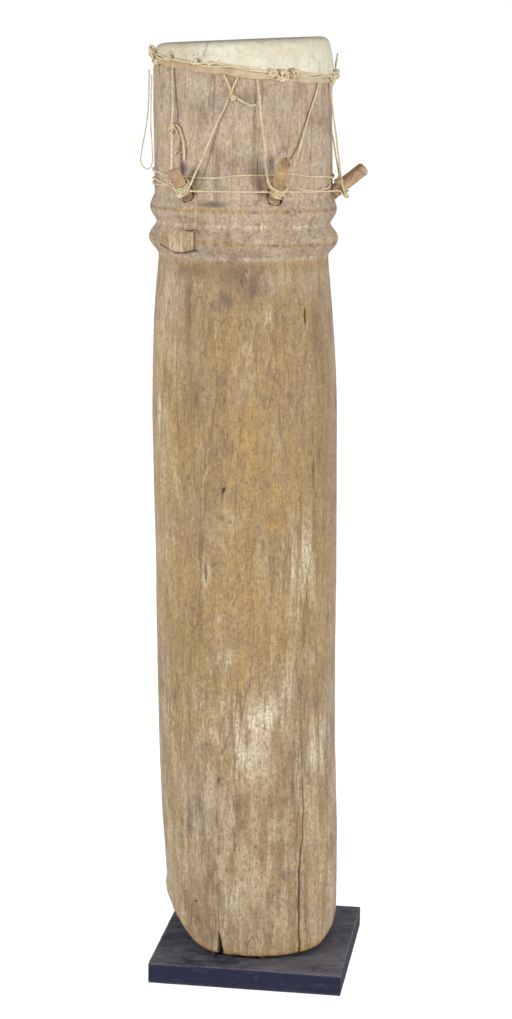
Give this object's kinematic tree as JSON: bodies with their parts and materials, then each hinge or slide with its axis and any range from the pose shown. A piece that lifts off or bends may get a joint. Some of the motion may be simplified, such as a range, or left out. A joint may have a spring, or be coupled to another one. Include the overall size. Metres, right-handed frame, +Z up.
{
  "type": "ceremonial drum",
  "caption": "Tall log drum with a laced skin head, slanted wooden tension pegs, a pair of carved rings and a worn foot, held on pins above a square dark wooden plinth.",
  "frame": {"origin": "centre of the plinth's flat underside", "axes": "+Z up along the standing drum, -Y the front that the picture shows, +X to the right seen from the front"},
  "size_m": [0.2885, 0.2657, 1.2037],
  "materials": {
    "log_wood": "dry, hand-worn, matt",
    "peg_wood": "whittled, matt",
    "plinth_wood": "dark stain, satin",
    "skin": "dried rawhide, matt",
    "fibre_cord": "twisted plant fibre, matt",
    "pin_metal": "dark blackened steel"
  },
  "bodies": {
    "root": {"plinth": "plinth_wood", "drum_body": "log_wood", "drumhead": "skin", "skin_flap": "skin", "pin_1": "pin_metal", "pin_2": "pin_metal", "pin_3": "pin_metal", "pin_4": "pin_metal", "peg_1": "peg_wood", "peg_2": "peg_wood", "peg_3": "peg_wood", "peg_4": "peg_wood", "peg_5": "peg_wood", "binding_cord": "fibre_cord", "belt_upper": "fibre_cord", "belt_lower": "fibre_cord", "lace_bow": "fibre_cord", "lace_tail": "fibre_cord", "slack_loop": "fibre_cord", "lace_1": "fibre_cord", "lace_2": "fibre_cord", "lace_3": "fibre_cord", "lace_4": "fibre_cord", "lace_5": "fibre_cord", "lace_6": "fibre_cord", "lace_7": "fibre_cord", "lace_8": "fibre_cord", "lace_9": "fibre_cord", "lace_10": "fibre_cord", "peg_wrap_1": "fibre_cord", "peg_wrap_2": "fibre_cord", "peg_wrap_3": "fibre_cord", "peg_wrap_4": "fibre_cord", "peg_wrap_5": "fibre_cord"}
  },
  "joints": []
}
